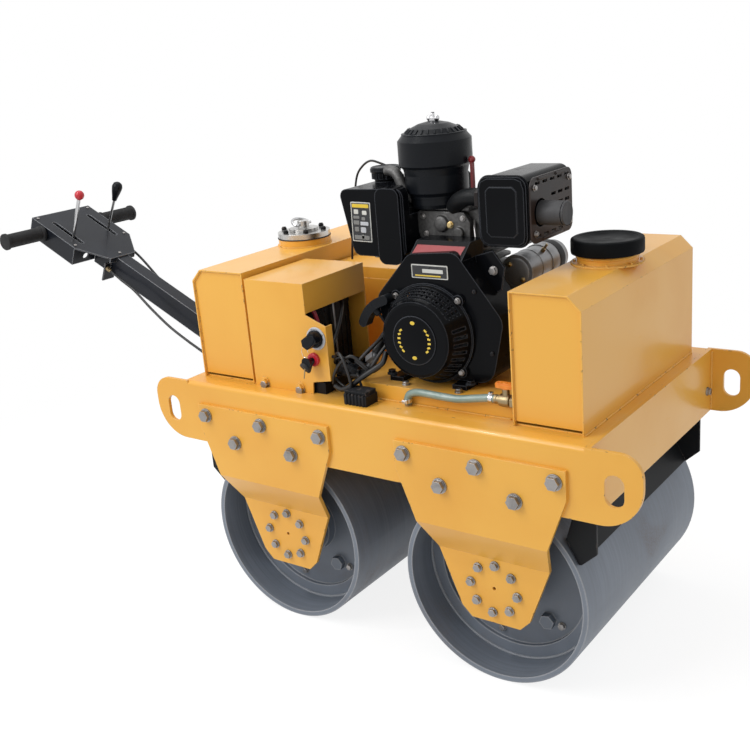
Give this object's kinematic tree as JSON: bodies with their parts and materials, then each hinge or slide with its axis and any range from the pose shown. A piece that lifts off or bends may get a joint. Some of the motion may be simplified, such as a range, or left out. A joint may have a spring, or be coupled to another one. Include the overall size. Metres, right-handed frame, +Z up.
{
  "type": "walk-behind vibratory roller",
  "caption": "Walk-behind vibratory roller: two steel drums under a welded frame with a diesel engine, tanks, battery cabinet and a folding steering handle.",
  "frame": {"origin": "on the ground under the middle of the overall length and width", "axes": "+X forward, away from the handle; +Y to the machine's left; +Z up"},
  "size_m": [1.9556, 0.7028, 1.157],
  "materials": {
    "frame_paint": "gloss orange-yellow enamel",
    "tank_paint": "gloss orange-yellow enamel",
    "zinc": "zinc plated",
    "cast": "grey casting",
    "bearing_steel": "ground steel",
    "drum_steel": "rolled steel, blue-grey",
    "black_metal": "gloss black enamel",
    "starter_metal": "machined",
    "white_plastic": "white pipe",
    "hose_rubber": "pale green hose",
    "brass": "worn brass",
    "black_rubber": "matte",
    "black_plastic": "satin moulded",
    "orange_handle": "painted",
    "red_metal": "painted"
  },
  "bodies": {
    "chassis": {"right_side_plate": "frame_paint", "left_side_plate": "frame_paint", "deck": "frame_paint", "front_cross_plate": "frame_paint", "rear_cross_plate": "frame_paint", "engine_bed": "frame_paint", "front_supports": "frame_paint", "rear_supports": "frame_paint", "support_bolts": "zinc", "bearing_carriers": "cast", "drum_bearings": "bearing_steel", "drive_motors": "black_metal", "vibration_motor": "black_metal", "scrapers": "black_metal", "sprinkler_pipes": "white_plastic", "water_tank": "tank_paint", "water_hose": "hose_rubber", "hose_fittings": "brass", "oil_tank": "tank_paint", "filler_flange": "zinc", "battery_cabinet": "tank_paint", "battery": "black_plastic", "hydraulic_cabinet": "tank_paint", "key_switch": "zinc", "wiring_harness": "black_rubber", "relay_box": "black_plastic", "crankcase": "black_metal", "cylinder_head": "cast", "fan_shroud": "black_metal", "recoil_housing": "black_metal", "air_cleaner_bowl": "black_plastic", "air_cleaner_lid": "black_plastic", "fuel_tank": "black_metal", "muffler": "black_metal", "muffler_guard": "black_metal", "starter_motor": "starter_metal", "hydraulic_pump": "cast", "handle_pin": "zinc"},
    "front_drum_body": {"front_drum": "drum_steel", "front_drive_hub": "bearing_steel"},
    "rear_drum_body": {"rear_drum": "drum_steel", "rear_drive_hub": "bearing_steel"},
    "eccentric": {"eccentric_shaft": "bearing_steel"},
    "crankshaft": {"flywheel_fan": "starter_metal"},
    "handle": {"handle_beam": "black_metal", "control_head": "black_metal", "handle_bar": "black_metal", "handle_grips": "black_rubber", "control_cables": "black_rubber"},
    "travel": {"travel_lever": "zinc"},
    "throttle": {"throttle_lever": "black_plastic"},
    "water_lid": {"water_cap": "black_plastic"},
    "tap": {"tap_lever": "orange_handle"},
    "oil_lid": {"oil_cap": "zinc"},
    "oil_ring": {"filler_ring": "zinc"},
    "fuel_lid": {"fuel_cap": "black_plastic"},
    "selector": {"selector_knob": "black_plastic"},
    "key": {"ignition_key": "black_plastic"},
    "starter_grip": {"recoil_grip": "black_plastic"},
    "relief_lever": {"decompression_lever": "red_metal"}
  },
  "joints": [
    {"name": "front_drum_roll", "type": "hinge", "parent": "chassis", "child": "front_drum_body", "pos_m": [0.6378, 0, 0.2125], "axis": [0, 1, 0], "continuous": true},
    {"name": "rear_drum_roll", "type": "hinge", "parent": "chassis", "child": "rear_drum_body", "pos_m": [0.0778, 0, 0.2125], "axis": [0, 1, 0], "continuous": true},
    {"name": "eccentric_spin", "type": "hinge", "parent": "chassis", "child": "eccentric", "pos_m": [0.6378, 0, 0.2125], "axis": [0, 1, 0], "continuous": true},
    {"name": "crankshaft_spin", "type": "hinge", "parent": "chassis", "child": "crankshaft", "pos_m": [0.4628, 0, 0.722], "axis": [0, 1, 0], "continuous": true},
    {"name": "handle_fold", "type": "hinge", "parent": "chassis", "child": "handle", "pos_m": [-0.2172, 0, 0.511], "axis": [0, 1, 0], "range_deg": [0, 60]},
    {"name": "travel_lever_swing", "type": "hinge", "parent": "handle", "child": "travel", "pos_m": [-0.85229, -0.062, 0.80555], "axis": [0, 1, 0], "range_deg": [-25, 25]},
    {"name": "throttle_swing", "type": "hinge", "parent": "handle", "child": "throttle", "pos_m": [-0.85229, 0.062, 0.80555], "axis": [0, 1, 0], "range_deg": [-25, 25]},
    {"name": "water_cap_lift", "type": "slide", "parent": "chassis", "child": "water_lid", "axis": [0, 0, 1], "range_m": [0, 0.1]},
    {"name": "tap_turn", "type": "hinge", "parent": "chassis", "child": "tap", "pos_m": [0.6728, -0.265, 0.65], "axis": [0, 0, 1], "range_deg": [0, 90]},
    {"name": "oil_cap_lift", "type": "slide", "parent": "chassis", "child": "oil_lid", "axis": [0, 0, 1], "range_m": [0, 0.08]},
    {"name": "filler_ring_flip", "type": "hinge", "parent": "oil_lid", "child": "oil_ring", "pos_m": [-0.0572, 0.04, 0.88805], "axis": [0, 1, 0], "range_deg": [0, 150]},
    {"name": "fuel_cap_turn", "type": "hinge", "parent": "chassis", "child": "fuel_lid", "pos_m": [0.2618, -0.035, 1.02], "axis": [0, 0, 1], "range_deg": [0, 90]},
    {"name": "selector_turn", "type": "hinge", "parent": "chassis", "child": "selector", "pos_m": [0.2248, -0.29, 0.71], "axis": [0, -1, 0], "range_deg": [0, 90]},
    {"name": "key_turn", "type": "hinge", "parent": "chassis", "child": "key", "pos_m": [0.2138, -0.29, 0.662], "axis": [0, -1, 0], "range_deg": [-60, 30]},
    {"name": "starter_pull", "type": "slide", "parent": "chassis", "child": "starter_grip", "axis": [-0.6691, 0, 0.7431], "range_m": [0, 0.05]},
    {"name": "relief_swing", "type": "hinge", "parent": "chassis", "child": "relief_lever", "pos_m": [0.4968, -0.058, 0.967], "axis": [1, 0, 0], "range_deg": [0, 40]}
  ]
}
